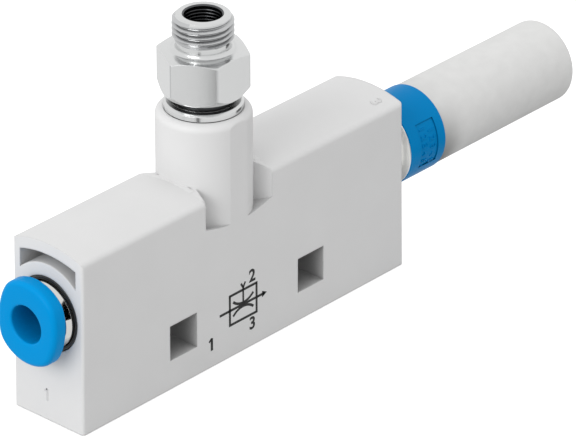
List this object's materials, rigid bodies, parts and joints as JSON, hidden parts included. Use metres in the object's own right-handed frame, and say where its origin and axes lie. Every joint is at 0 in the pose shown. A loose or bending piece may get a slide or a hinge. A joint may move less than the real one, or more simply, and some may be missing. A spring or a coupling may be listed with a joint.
{
  "type": "vacuum ejector",
  "caption": "Inline T-shaped vacuum ejector: moulded housing with push-in supply port and release ring, threaded vacuum nipple on a neck, and a porous silencer on the exhaust.",
  "frame": {"origin": "middle of the housing's flat base", "axes": "+Z towards the vacuum port, +X along the flow from the supply port to the silencer, -Y out of the printed side"},
  "size_m": [0.1229, 0.0148, 0.0571],
  "materials": {
    "housing_plastic": "fine moulded matte",
    "port_metal": "nickel plated and polished",
    "nipple_metal": "nickel plated, turned",
    "spring_steel": "rolled",
    "blue_plastic": "satin gloss",
    "ring_plastic": "natural",
    "seal_rubber": "smooth",
    "jet_brass": "turned",
    "receiver_plastic": "natural",
    "silencer_plastic": "porous"
  },
  "bodies": {
    "ejector_body": {"housing": "housing_plastic", "supply_sleeve": "port_metal", "supply_grab_ring": "spring_steel", "supply_support_ring": "ring_plastic", "supply_seal": "seal_rubber", "jet_nozzle": "jet_brass", "jet_nozzle_o_ring": "seal_rubber", "receiver_nozzle": "receiver_plastic", "receiver_front_o_ring": "seal_rubber", "receiver_rear_o_ring": "seal_rubber", "vacuum_sleeve": "port_metal", "vacuum_grab_ring": "spring_steel", "vacuum_support_ring": "ring_plastic", "vacuum_seal": "seal_rubber", "vacuum_nipple": "nipple_metal", "exhaust_sleeve": "port_metal", "exhaust_grab_ring": "spring_steel", "exhaust_support_ring": "ring_plastic", "exhaust_seal": "seal_rubber", "supply_rim_seal": "seal_rubber", "vacuum_rim_seal": "seal_rubber", "exhaust_rim_seal": "seal_rubber", "silencer_stub": "port_metal", "silencer_collar": "blue_plastic", "silencer_tube": "silencer_plastic"},
    "release_ring": {"supply_release_ring": "blue_plastic"}
  },
  "joints": [
    {"name": "release_ring_push", "type": "slide", "parent": "ejector_body", "child": "release_ring", "axis": [1, 0, 0], "range_m": [0, 0.0008], "stiffness_N_per_m": 1000, "springref_m": -0.0005}
  ]
}
